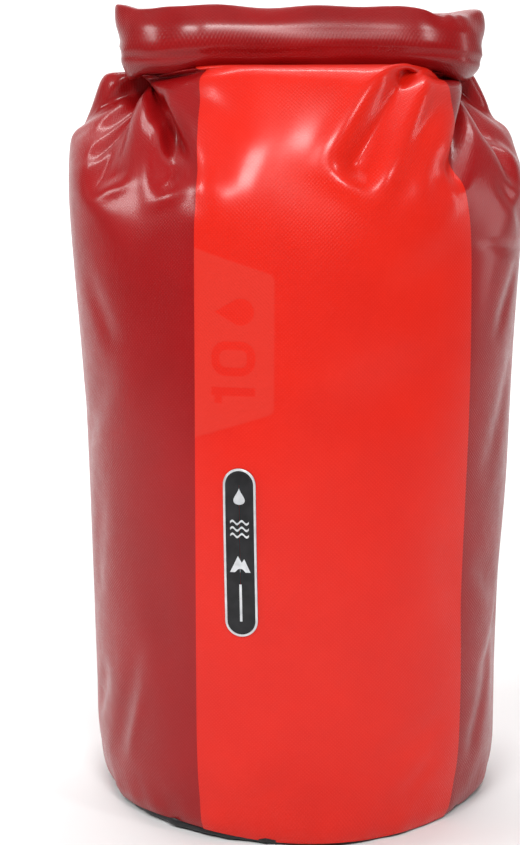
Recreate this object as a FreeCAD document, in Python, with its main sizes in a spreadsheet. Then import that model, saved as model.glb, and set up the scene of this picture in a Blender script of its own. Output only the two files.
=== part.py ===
"""Roll-top dry bag of ten litres, standing filled and closed.

Frame: Z up, origin at the middle of the base on the ground, the light front panel faces -Y.
The mouth is rolled down and its two ends are bent back and buckled together behind, so the
roll is a loop seen from above. All lengths are millimetres and all angles degrees.
"""

import FreeCAD
import Part
import Sketcher
import os

SHEET_CELLS = [
    # fabric shell
    ("fabric", 0.6),
    ("foot_radius", 84.0),
    ("foot_thick", 1.0),
    ("seam_radius", 92.0),
    ("seam_height", 6.0),
    ("tube_radius", 98.0),
    ("bulge_height", 50.0),
    ("chest_height", 290.0),
    ("chest_half_width", 105.2),
    ("chest_half_depth", 91.5),
    ("crown_height", 345.6),
    ("crown_half_width", 80.0),
    ("crown_half_depth", 38.0),
    ("crown_offset", 15.0),
    ("panel_left", 55.5),
    ("panel_right", 69.7),
    # badge
    ("badge_thick", 0.4),
    ("badge_width", 15.0),
    ("badge_length", 76.0),
    ("badge_middle", 144.0),
    ("badge_angle", -22.8),
    # rolled mouth
    ("roll_height", 30.0),
    ("roll_thick", 14.0),
    ("roll_bottom", 346.0),
    ("roll_line", -14.0),
    ("roll_half_length", 46.0),
    ("bend_radius", 31.0),
    ("tip_length", 6.0),
    ("core_height", 22.0),
    ("core_thick", 7.6),
    ("strip_height", 20.0),
    ("strip_thick", 1.4),
    ("lip_thick", 1.0),
    ("strip_shift", 0.9),
    # webbing tabs
    ("web_thick", 1.6),
    ("web_width", 20.0),
    ("web_turn", 2.9),
    ("web_tuck", 24.0),
    ("thread_radius", 0.4),
    ("thread_pitch", 3.5),
    ("thread_rows", 6.5),
    # buckle
    ("bar_place", 23.0),
    ("bar_radius", 1.8),
    ("bar_reach", 10.6),
    ("rail_width", 3.0),
    ("rail_thick", 6.0),
    ("socket_mouth", 9.0),
    ("socket_back", 17.4),
    ("socket_wall", 2.0),
    ("socket_half_width", 13.6),
    ("socket_thick", 11.0),
    ("window_inner", 12.4),
    ("window_outer", 0.6),
    ("window_thick", 5.6),
    ("plug_block", 9.4),
    ("plug_back", 15.2),
    ("plug_half_width", 12.6),
    ("plug_thick", 8.0),
    ("socket_round", 2.4),
    ("plug_round", 1.5),
    ("rail_round", 0.9),
    ("guide_width", 4.0),
    ("guide_tip", 12.5),
    ("arm_root", 9.0),
    ("arm_tip", 13.2),
    ("arm_outer", 11.2),
    ("arm_width", 2.4),
    ("arm_thick", 4.6),
    ("barb_inner", 11.7),
    ("barb_outer", 1.0),
    ("barb_height", 2.2),
]

ORIGIN_Z = "(Sheet.roll_bottom + Sheet.roll_height / 2)"
BUCKLE_LINE = "(Sheet.roll_line + 2 * Sheet.bend_radius)"

doc = FreeCAD.newDocument("DryBag")
sheet = doc.addObject("Spreadsheet::Sheet", "Sheet")
for row, (alias, value) in enumerate(SHEET_CELLS, start=1):
    sheet.set(f"A{row}", alias)
    sheet.set(f"B{row}", str(value))
    sheet.setAlias(f"B{row}", alias)
doc.recompute()

X_AXIS, Y_AXIS, Z_AXIS = FreeCAD.Vector(1, 0, 0), FreeCAD.Vector(0, 1, 0), FreeCAD.Vector(0, 0, 1)
NO_TURN = FreeCAD.Rotation()


def bind(obj, **expressions):
    """Binds properties to sheet expressions; at_x, at_y and at_z are the placement's base."""
    names = {"at_x": "Placement.Base.x", "at_y": "Placement.Base.y", "at_z": "Placement.Base.z"}
    for name, expression in expressions.items():
        obj.setExpression(names.get(name, name), expression)
    return obj


def place(obj, x, y, z, turn=NO_TURN):
    obj.Placement = FreeCAD.Placement(FreeCAD.Vector(), turn)
    return bind(obj, at_x=x, at_y=y, at_z=z)


def box(name, x, y, z, length, width, height):
    """A box from its lowest corner."""
    solid = doc.addObject("Part::Box", name)
    bind(solid, Length=length, Width=width, Height=height)
    return place(solid, x, y, z)


def cylinder(name, x, y, z, radius, height, angle="360", turn=NO_TURN):
    solid = doc.addObject("Part::Cylinder", name)
    bind(solid, Radius=radius, Height=height, Angle=angle)
    return place(solid, x, y, z, turn)


def cut(name, base, tool):
    result = doc.addObject("Part::Cut", name)
    result.Base, result.Tool = base, tool
    return result


def fuse(name, *shapes):
    result = doc.addObject("Part::MultiFuse", name)
    result.Shapes = list(shapes)
    result.Refine = True
    return result


def common(name, *shapes):
    result = doc.addObject("Part::MultiCommon", name)
    result.Shapes = list(shapes)
    return result


def offset(name, source, value):
    result = doc.addObject("Part::Offset", name)
    result.Source = source
    result.Join = 0
    bind(result, Value=value)
    return result


def origin_feature(body, role):
    return next(f for f in body.Origin.OriginFeatures if f.Role == role)


# ---------------------------------------------------------------- fabric shell


def section(name, z, half_width, half_depth, centre="0"):
    """A level ellipse of the filled bag, wider from side to side than from front to back."""
    ring = doc.addObject("Part::Ellipse", name)
    bind(ring, MajorRadius=half_width, MinorRadius=half_depth)
    return place(ring, "0", centre, z)


def filled_shape():
    """The closed outside of the filled tube: round at the foot, oval at the chest, closing under the roll."""
    chest, crown = "Sheet.chest_height", "Sheet.crown_height"
    width, depth = "Sheet.chest_half_width", "Sheet.chest_half_depth"
    tube, bulge, lean = "Sheet.tube_radius", "Sheet.bulge_height", "Sheet.crown_offset"
    rings = [
        section("RingSeam", "Sheet.seam_height", "Sheet.seam_radius", "Sheet.seam_radius"),
        section("RingFoot", "Sheet.seam_height * 3.5", f"{tube} - 1", f"{tube} - 1"),
        section("RingBulge", bulge, tube, tube),
    ]
    steps = 5
    for step in range(1, steps):
        share = f"{step} / {steps}"
        rings.append(section(
            f"RingTube{step}", f"{bulge} + ({chest} - {bulge}) * {share}",
            f"{tube} + ({width} - {tube}) * {share}", f"{tube} + ({depth} - {tube}) * {share}",
        ))
    rings += [
        section("RingChest", chest, width, depth),
        section("RingShoulder", f"{chest} + 21", f"{width} - 0.4", f"{depth} - 5", f"{lean} * 0.08"),
        section("RingTurn", f"{chest} + 36", f"{width} - 3.5", f"{depth} - 16", f"{lean} * 0.25"),
        section("RingSlope", f"{chest} + 47", f"{width} - 10.5", f"{depth} - 32", f"{lean} * 0.6"),
        section("RingCrown", crown, "Sheet.crown_half_width", "Sheet.crown_half_depth", lean),
    ]
    loft = doc.addObject("Part::Loft", "FilledShape")
    loft.Sections = rings
    loft.Solid = True
    loft.Ruled = False
    return loft


def shell(outside):
    """The fabric tube with its shoulders, open at the bottom where the base is welded on."""
    inside = offset("FilledInside", outside, "-Sheet.fabric")
    hollow = cut("FabricClosed", outside, inside)
    mouth = cylinder("BottomOpening", "0", "0", "0", "Sheet.seam_radius - Sheet.fabric",
                     "Sheet.seam_height + 3 * Sheet.fabric")
    return cut("FabricShell", hollow, mouth)


def front_gap(name):
    """The space the light panel fills: upright planes to the left and right, and all that lies ahead."""
    return box(name, "-Sheet.panel_left", "-2 * Sheet.tube_radius", "0", "Sheet.panel_left + Sheet.panel_right",
               "2 * Sheet.tube_radius", "Sheet.crown_height + 10")


def fabric_panels(fabric):
    common("front_panel", fabric, front_gap("FrontFilled"))
    cut("body_panel", fabric, front_gap("FrontGap"))


def number(obj, text):
    """The plain value of a sheet expression."""
    result = obj.evalExpression(text)
    return float(getattr(result, "Value", result))


def bound_polygon(body, plane, name, corners):
    """A closed sketch of straight lines whose corners are bound to sheet expressions."""
    sketch = body.newObject("Sketcher::SketchObject", name)
    sketch.AttachmentSupport = [(origin_feature(body, plane), "")]
    sketch.MapMode = "FlatFace"
    rough = [FreeCAD.Vector(number(sketch, x), number(sketch, y), 0) for x, y in corners]
    count = len(corners)
    for i in range(count):
        sketch.addGeometry(Part.LineSegment(rough[i], rough[(i + 1) % count]), False)
    for i in range(count):
        sketch.addConstraint(Sketcher.Constraint("Coincident", i, 2, (i + 1) % count, 1))
    for i, (x, y) in enumerate(corners):
        for kind, expression, value in (("DistanceX", x, rough[i].x), ("DistanceY", y, rough[i].y)):
            index = sketch.addConstraint(Sketcher.Constraint(kind, -1, 1, i, 1, value))
            sketch.setExpression(f"Constraints[{index}]", expression)
    return sketch


def base_panel():
    """The heavy round base: a flat disc with a dished rim that the tube is welded to."""
    body = doc.addObject("PartDesign::Body", "base_panel")
    thick, foot = "Sheet.foot_thick", "Sheet.foot_radius"
    corners = [
        ("0", "0"),
        (foot, "0"),
        ("Sheet.seam_radius", "Sheet.seam_height"),
        (f"Sheet.seam_radius - {thick} * 1.2", "Sheet.seam_height"),
        (f"{foot} - {thick} * 0.4", thick),
        ("0", thick),
    ]
    sketch = bound_polygon(body, "XZ_Plane", "BaseProfile", corners)
    turned = body.newObject("PartDesign::Revolution", "BaseTurned")
    turned.Profile = sketch
    turned.ReferenceAxis = (origin_feature(body, "Z_Axis"), [""])
    turned.Angle = 360
    return body


def badge(outside):
    """A thin rounded badge bonded to the front panel near its left edge."""
    skin = cut("BadgeSkin", offset("BadgeOutside", outside, "Sheet.badge_thick"), outside)
    length, width, middle = "Sheet.badge_length", "Sheet.badge_width", "Sheet.badge_middle"
    straight = f"({length} - {width})"
    angle = number(sheet, "badge_angle")
    facing = FreeCAD.Rotation(Z_AXIS, angle)
    outward = facing.multiply(FreeCAD.Rotation(X_AXIS, 90))
    reach = "1.2 * Sheet.tube_radius"
    plate = box("BadgePlate", "0", "0", "0", width, reach, straight)
    plate.Placement = FreeCAD.Placement(FreeCAD.Vector(), facing)
    side_x, side_y = f"cos({angle})", f"sin({angle})"
    bind(
        plate,
        at_x=f"-{width} / 2 * {side_x} + 1.2 * Sheet.tube_radius * {side_y}",
        at_y=f"-{width} / 2 * {side_y} - 1.2 * Sheet.tube_radius * {side_x}",
        at_z=f"{middle} - {straight} / 2",
    )
    ends = [
        cylinder(f"BadgeEnd{sign}", "0", "0", f"{middle} {sign} {straight} / 2", f"{width} / 2", reach, turn=outward)
        for sign in ("+", "-")
    ]
    return common("badge", skin, fuse("BadgeOutline", plate, *ends))


# ---------------------------------------------------------------- rolled mouth


def bent_strip(name, side, height, thick, shift="0", core=None, sweep="180", straight=None):
    """A band that follows the bend at one end of the roll, from the front of the loop to its tip.

    The body's own Z axis is the bend's centre, so the band is a revolution about it.
    """
    body = doc.addObject("PartDesign::Body", name)
    place(body, f"{side} * Sheet.roll_half_length", "Sheet.roll_line + Sheet.bend_radius", ORIGIN_Z)
    front = band_section(body, name + "Front", f"-Sheet.bend_radius + {shift}", height, thick, core)
    turned = body.newObject("PartDesign::Revolution", name + "Bend")
    turned.Profile = front
    turned.ReferenceAxis = (origin_feature(body, "Z_Axis"), [""])
    turned.Reversed = side < 0
    turned.setExpression("Angle", sweep)
    if straight is not None:
        back = band_section(body, name + "Back", f"Sheet.bend_radius - ({shift})", height, thick, core)
        tip = body.newObject("PartDesign::Pad", name + "Tip")
        tip.Profile = back
        tip.setExpression("Length", straight)
        tip.Reversed = side > 0
    return body


def straight_strip(name, height, thick, shift="0", core=None):
    """The same band along the straight front of the roll."""
    body = doc.addObject("PartDesign::Body", name)
    place(body, "0", "Sheet.roll_line", ORIGIN_Z)
    front = band_section(body, name + "Middle", shift, height, thick, core)
    pad = body.newObject("PartDesign::Pad", name + "Run")
    pad.Profile = front
    pad.SideType = "Symmetric"
    pad.setExpression("Length", "2 * Sheet.roll_half_length")
    return body


def band_section(body, name, middle, height, thick, core):
    """An upright section on the body's YZ plane: a plain rectangle, or a round-edged ring round the core slot."""
    if core is None:
        left, right = f"{middle} - {thick} / 2", f"{middle} + {thick} / 2"
        low, high = f"-{height} / 2", f"{height} / 2"
        return bound_polygon(body, "YZ_Plane", name, [(left, low), (right, low), (right, high), (left, high)])
    core_height, core_thick = core
    left, right = f"{middle} - {core_thick} / 2", f"{middle} + {core_thick} / 2"
    low, high = f"-{core_height} / 2", f"{core_height} / 2"
    sketch = bound_polygon(body, "YZ_Plane", name, [(left, low), (right, low), (right, high), (left, high)])
    add_stadium(sketch, middle, height, thick)
    return sketch


def add_stadium(sketch, middle, height, thick):
    """Adds an upright stadium, half-round at top and bottom, round what the sketch already holds."""
    half_turn = 3.141592653589793
    y, radius = number(sketch, middle), number(sketch, f"{thick} / 2")
    reach = number(sketch, f"({height} - {thick}) / 2")
    top, low = FreeCAD.Vector(y, reach, 0), FreeCAD.Vector(y, -reach, 0)
    first = sketch.GeometryCount
    side = FreeCAD.Vector(radius, 0, 0)
    sketch.addGeometry(Part.ArcOfCircle(Part.Circle(top, Z_AXIS, radius), 0, half_turn), False)
    sketch.addGeometry(Part.ArcOfCircle(Part.Circle(low, Z_AXIS, radius), half_turn, 2 * half_turn), False)
    sketch.addGeometry(Part.LineSegment(top - side, low - side), False)
    sketch.addGeometry(Part.LineSegment(low + side, top + side), False)
    arc, under, left, right = first, first + 1, first + 2, first + 3
    sketch.addConstraint(Sketcher.Constraint("Tangent", arc, 2, left, 1))
    sketch.addConstraint(Sketcher.Constraint("Tangent", left, 2, under, 1))
    sketch.addConstraint(Sketcher.Constraint("Tangent", under, 2, right, 1))
    sketch.addConstraint(Sketcher.Constraint("Tangent", right, 2, arc, 1))
    bound = [
        (Sketcher.Constraint("Radius", arc, radius), f"{thick} / 2"),
        (Sketcher.Constraint("DistanceX", -1, 1, arc, 3, y), middle),
        (Sketcher.Constraint("DistanceY", -1, 1, arc, 3, reach), f"({height} - {thick}) / 2"),
        (Sketcher.Constraint("DistanceY", -1, 1, under, 3, -reach), f"-({height} - {thick}) / 2"),
    ]
    for item, expression in bound:
        index = sketch.addConstraint(item)
        sketch.setExpression(f"Constraints[{index}]", expression)


def rolled_mouth():
    """The roll in three lengths, with the stiffener and the sealing lip wound up in its core."""
    core = ("Sheet.core_height", "Sheet.core_thick")
    height, thick = "Sheet.roll_height", "Sheet.roll_thick"
    straight_strip("roll_centre", height, thick, core=core)
    strips = [
        ("mouth_stiffener", "Sheet.strip_thick", "-Sheet.strip_shift"),
        ("sealing_lip", "Sheet.lip_thick", "Sheet.strip_shift"),
    ]
    for name, strip_thick, shift in strips:
        straight_strip(f"{name}_centre", "Sheet.strip_height", strip_thick, shift)
    for side, word in ((1, "right"), (-1, "left")):
        bent_strip(f"roll_{word}", side, height, thick, core=core, straight="Sheet.tip_length")
        for name, strip_thick, shift in strips:
            bent_strip(f"{name}_{word}", side, "Sheet.strip_height", strip_thick, shift,
                       sweep="180 - Sheet.web_tuck * 0.25")


# ---------------------------------------------------------------- webbing tabs


def half_ring(name, x, y, radius, thick, width, start, angle="180"):
    """An upright band bent round a vertical axis, starting at an angle from +X."""
    turn = FreeCAD.Rotation(Z_AXIS, start)
    low = f"{ORIGIN_Z} - {width} / 2"
    outer = cylinder(name + "Outer", x, y, low, f"{radius} + {thick} / 2", width, angle, turn)
    inner = cylinder(name + "Inner", x, y, low, f"{radius} - {thick} / 2", width, angle, turn)
    return cut(name, outer, inner)


def webbing_tab(side, word):
    """Webbing folded round the buckle's bar, both legs tucked into the core of the roll's tip."""
    turn, thick, width = "Sheet.web_turn", "Sheet.web_thick", "Sheet.web_width"
    bar = f"{side} * Sheet.bar_place"
    fold = half_ring(f"Fold_{word}", bar, BUCKLE_LINE, turn, thick, width, 90 if side > 0 else -90)
    run = "(Sheet.roll_half_length - Sheet.bar_place)"
    low_x = "Sheet.bar_place" if side > 0 else "-Sheet.roll_half_length"
    tuck = number(sheet, "web_tuck")
    pieces = [fold]
    for sign in ("+", "-"):
        key = f"{word}{'Outer' if sign == '+' else 'Inner'}"
        leg_y = f"{BUCKLE_LINE} {sign} {turn} - {thick} / 2"
        pieces.append(box(f"Leg{key}", low_x, leg_y, f"{ORIGIN_Z} - {width} / 2", run, thick, width))
        pieces.append(
            half_ring(f"Tuck{key}", f"{side} * Sheet.roll_half_length", "Sheet.roll_line + Sheet.bend_radius",
                      f"(Sheet.bend_radius {sign} {turn})", thick, width,
                      90 - tuck if side > 0 else 90, "Sheet.web_tuck")
        )
    return fuse(f"webbing_tab_{word}", *pieces)


def tab_stitching(side, word):
    """Two rows of thread through both legs of a tab, inside the roll's tip."""
    centre_x = sheet.roll_half_length * side
    rows = []
    for row_sign in (-1, 1):
        for step in range(4):
            name = f"Thread_{word}_{'low' if row_sign < 0 else 'high'}_{step}"
            x = f"{side} * (Sheet.roll_half_length - Sheet.tip_length + 1.6 + {step} * Sheet.thread_pitch * 0.4)"
            stitch = cylinder(
                name, x, f"{BUCKLE_LINE} - Sheet.web_turn - Sheet.web_thick / 2",
                f"{ORIGIN_Z} + {row_sign} * Sheet.thread_rows", "Sheet.thread_radius",
                "2 * Sheet.web_turn + Sheet.web_thick", turn=FreeCAD.Rotation(X_AXIS, -90),
            )
            rows.append(stitch)
    group = doc.addObject("Part::Compound", f"tab_stitching_{word}")
    group.Links = rows
    return group


# ---------------------------------------------------------------- buckle


def level_box(name, x_low, x_high, half_z, thick, z_low=None, z_high=None):
    """A block of the buckle, centred on its line in Y; z is counted from the roll's mid height."""
    low = f"-({half_z})" if z_low is None else z_low
    high = half_z if z_high is None else z_high
    return box(name, x_low, f"{BUCKLE_LINE} - ({thick}) / 2", f"{ORIGIN_Z} + ({low})",
               f"({x_high}) - ({x_low})", thick, f"({high}) - ({low})")


def rounded(name, base, radius):
    """Fillets every edge of base."""
    doc.recompute()
    fillet = doc.addObject("Part::Fillet", name)
    fillet.Base = base
    size = number(sheet, radius)
    fillet.Edges = [(i, size, size) for i in range(1, len(base.Shape.Edges) + 1)]
    return fillet


def bar_frame(name, side, inner_end):
    """The end bar that the webbing turns round, and the two rails that carry it."""
    bar_x, reach = f"{side} * Sheet.bar_place", "Sheet.bar_reach"
    bar = cylinder(f"{name}Bar", bar_x, BUCKLE_LINE, f"{ORIGIN_Z} - {reach} - 0.5",
                   "Sheet.bar_radius", f"2 * {reach} + 1")
    far = f"{bar_x} + {side} * Sheet.rail_thick / 2"
    low, high = (inner_end, far) if side > 0 else (far, inner_end)
    outer = f"({reach} + Sheet.rail_width)"
    rails = [
        level_box(f"{name}RailUpper", low, high, "", "Sheet.rail_thick", reach, outer),
        level_box(f"{name}RailLower", low, high, "", "Sheet.rail_thick", f"-{outer}", f"-{reach}"),
    ]
    return [bar] + [rounded(rail.Name + "Rounded", rail, "rail_round") for rail in rails]


def buckle_socket():
    """The hollow half, open towards +X, with a window each side for the barbs."""
    wall, half, thick = "Sheet.socket_wall", "Sheet.socket_half_width", "Sheet.socket_thick"
    back, mouth = "-Sheet.socket_back", "Sheet.socket_mouth"
    block = rounded("SocketRounded", level_box("SocketBlock", back, mouth, half, thick), "socket_round")
    cavity = level_box("SocketCavity", f"{back} + {wall}", f"{mouth} + 1", f"{half} - {wall}", f"{thick} - 2 * {wall}")
    windows = level_box("SocketWindows", "-Sheet.window_inner", "-Sheet.window_outer", f"{half} + 1",
                        "Sheet.window_thick")
    relief = cylinder("SocketThumb", f"{mouth} + 1.5", f"{BUCKLE_LINE} - {thick}", ORIGIN_Z, "4.5",
                      f"2 * {thick}", turn=FreeCAD.Rotation(X_AXIS, -90))
    hollow = cut("SocketHollow", cut("SocketBored", cut("SocketOpen", block, cavity), windows), relief)
    return fuse("buckle_socket", hollow, *bar_frame("Socket", -1, f"{back} + {wall} / 2"))


def buckle_plug():
    """The solid half: the end bar, the cross block and the blunt guide that enters the socket."""
    block_x, back_x, thick = "Sheet.plug_block", "Sheet.plug_back", "Sheet.plug_thick"
    block = rounded("PlugRounded", level_box("PlugBlock", block_x, back_x, "Sheet.plug_half_width", thick),
                    "plug_round")
    rooted = f"{block_x} + Sheet.plug_round"
    guide = level_box("PlugGuide", "-Sheet.guide_tip", rooted, "Sheet.guide_width / 2", "Sheet.arm_thick")
    rib = level_box("PlugRib", f"{block_x} - 4", rooted, "Sheet.guide_width", "Sheet.arm_thick")
    return fuse("buckle_plug", block, guide, rib, *bar_frame("Plug", 1, f"{back_x} - Sheet.plug_round"))


def release_arm(word, sign):
    """A springy side arm with the barb that shows in the socket's window and is squeezed to release."""
    outer, width = "Sheet.arm_outer", "Sheet.arm_width"
    low, high = (f"{outer} - {width}", outer) if sign > 0 else (f"-({outer})", f"-({outer} - {width})")
    bar = level_box(f"Arm{word}", "-Sheet.arm_tip", "Sheet.arm_root", "", "Sheet.arm_thick", low, high)
    top = f"{outer} + Sheet.barb_height"
    low, high = (outer + " - 0.2", top) if sign > 0 else (f"-({top})", f"-({outer} - 0.2)")
    barb = level_box(f"Barb{word}", "-Sheet.barb_inner", "-Sheet.barb_outer", "", "Sheet.arm_thick", low, high)
    return fuse(f"release_arm_{word}", bar, barb)


# ---------------------------------------------------------------- the bag

outside = filled_shape()
fabric_panels(shell(outside))
base_panel()
badge(outside)
rolled_mouth()
for side, word in ((1, "right"), (-1, "left")):
    webbing_tab(side, word)
    tab_stitching(side, word)
buckle_socket()
buckle_plug()
release_arm("upper", 1)
release_arm("lower", -1)
doc.recompute()

NODES = ["front_panel", "body_panel", "base_panel", "badge", "buckle_socket", "buckle_plug",
         "release_arm_upper", "release_arm_lower"]
for part in ("roll", "mouth_stiffener", "sealing_lip"):
    NODES += [f"{part}_{place_word}" for place_word in ("centre", "left", "right")]
for part in ("webbing_tab", "tab_stitching"):
    NODES += [f"{part}_{word}" for word in ("left", "right")]

failed = [obj.Name for obj in doc.Objects if {"Invalid", "Error"} & set(obj.State)]
if failed:
    raise SystemExit(f"these objects did not recompute: {failed}")
os.makedirs("parts", exist_ok=True)
for node in NODES:
    found = doc.getObject(node)
    found.Label = node
    shape = found.Shape
    if shape.isNull() or not shape.isValid() or not shape.Solids:
        raise SystemExit(f"{node} has no valid solid")
    print(f"{node}: {len(shape.Solids)} solid(s), {shape.Volume / 1000:.3f} cm3")
    shape.exportStep(f"parts/{node}.step")
print(f"inside volume: {doc.getObject('FilledInside').Shape.Volume / 1e6:.2f} litres")
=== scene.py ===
"""Roll-top dry bag of ten litres: the looks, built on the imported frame. Lengths in millimetres until a mesh is made."""
import math

import bpy
import numpy as np
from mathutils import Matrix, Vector
from mathutils.geometry import tessellate_polygon


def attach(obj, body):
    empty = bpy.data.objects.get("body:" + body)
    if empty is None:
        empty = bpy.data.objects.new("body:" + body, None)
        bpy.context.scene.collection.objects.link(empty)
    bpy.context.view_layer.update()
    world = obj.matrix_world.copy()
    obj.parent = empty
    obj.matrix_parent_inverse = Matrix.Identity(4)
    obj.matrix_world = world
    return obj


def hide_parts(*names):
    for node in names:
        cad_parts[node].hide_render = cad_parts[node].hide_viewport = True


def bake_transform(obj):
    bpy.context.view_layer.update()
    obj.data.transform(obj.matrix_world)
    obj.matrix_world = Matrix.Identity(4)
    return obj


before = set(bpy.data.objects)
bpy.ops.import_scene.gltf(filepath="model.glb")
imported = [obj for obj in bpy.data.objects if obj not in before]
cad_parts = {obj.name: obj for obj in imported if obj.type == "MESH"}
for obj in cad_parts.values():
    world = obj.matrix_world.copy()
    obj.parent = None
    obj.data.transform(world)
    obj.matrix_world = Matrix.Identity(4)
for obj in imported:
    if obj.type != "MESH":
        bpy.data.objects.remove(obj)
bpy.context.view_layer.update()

MM = 0.001
scene = bpy.context.scene

# ---------------------------------------------------------------- sizes of the bag

TUBE_RADIUS = 98.0  # the tube as it is cut and welded
HALF_FLAT = math.pi * TUBE_RADIUS / 2  # half of its width when it is laid flat
TUBE_LENGTH = 398.0  # from the base weld to the underside of the roll
SEAM_LEFT, SEAM_RIGHT = -59.5, 72.5  # where the light panel's edges lie, round the tube from the front
BASE_RADIUS, BASE_TOP = 92.0, 6.0
ROLL_LOW, ROLL_HIGH = 346.0, 376.0
ROLL_Y, ROLL_HALF, BEND, TIP = -14.0, 46.0, 31.0, 6.0
ROLL_REACH = ROLL_HALF + math.pi * BEND + TIP  # from the middle of the roll to either end
ROLL_MIDDLE = (ROLL_LOW + ROLL_HIGH) / 2
ROLL_DROP = 14.6  # from the roll's middle down to its underside
TURN = 4 * HALF_FLAT  # once round the tube
FABRIC, ROLLED_FABRIC, DOUBLED = 0.5, 0.6, 0.9  # thickness of a panel, of the roll's skin and of its inner turns
PROUD = 0.55  # the light panel lies this far above the dark one
UV_SCALE = 0.01  # uv for each millimetre of fabric


def smooth(x, low, high):
    """0 below low and 1 above high, with a soft step between them."""
    t = np.clip((np.asarray(x, float) - low) / (high - low), 0, 1)
    return t * t * (3 - 2 * t)


def bump(x, middle, width):
    """1 at the middle, fading away on both sides."""
    return np.exp(-(((np.asarray(x, float) - middle) / width) ** 2))


def roll_line(s, out=0.0):
    """Points on the roll's line seen from above: s along it from the middle, out towards its outside."""
    s = np.asarray(s, float)
    side, run = np.where(s < 0, -1.0, 1.0), np.abs(s)
    turn = np.clip((run - ROLL_HALF) / BEND, 0, math.pi)
    x = np.minimum(run, ROLL_HALF) + (BEND + out) * np.sin(turn) - np.clip(run - ROLL_HALF - math.pi * BEND, 0, None)
    y = ROLL_Y + BEND - (BEND + out) * np.cos(turn)
    return np.stack([side * x + lean_right(run), y], -1)


def lean_right(run):
    """The roll lies a little to the right of the bag, and comes back to the middle at its ends."""
    return 4.2 * (1 - smooth(run, 112, 140))


def roll_rise(run):
    """The roll arches up a little between its bends."""
    return 3.2 * (1 - smooth(np.abs(run), 40, 92))


def roll_underside(run):
    """Height of the roll's underside, where the tube goes into it."""
    return ROLL_MIDDLE - ROLL_DROP + roll_rise(run) - 1.2 * bump(np.abs(run), 98, 28)


# ---------------------------------------------------------------- the filled tube, by cloth simulation


def grid_faces(rows, columns, wraps=False, flip=False):
    """Quads between rows by columns of points."""
    across = columns if wraps else columns - 1
    faces = []
    for j in range(rows - 1):
        for i in range(across):
            k = (i + 1) % columns
            face = (j * columns + i, j * columns + k, (j + 1) * columns + k, (j + 1) * columns + i)
            faces.append(face[::-1] if flip else face)
    return faces


def round_tube(columns):
    """Evenly spaced places round the tube, in millimetres from its front: right is positive and left is negative."""
    s = np.arange(columns) / columns * TURN
    return np.where(s > TURN / 2, s - TURN, s)


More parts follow.
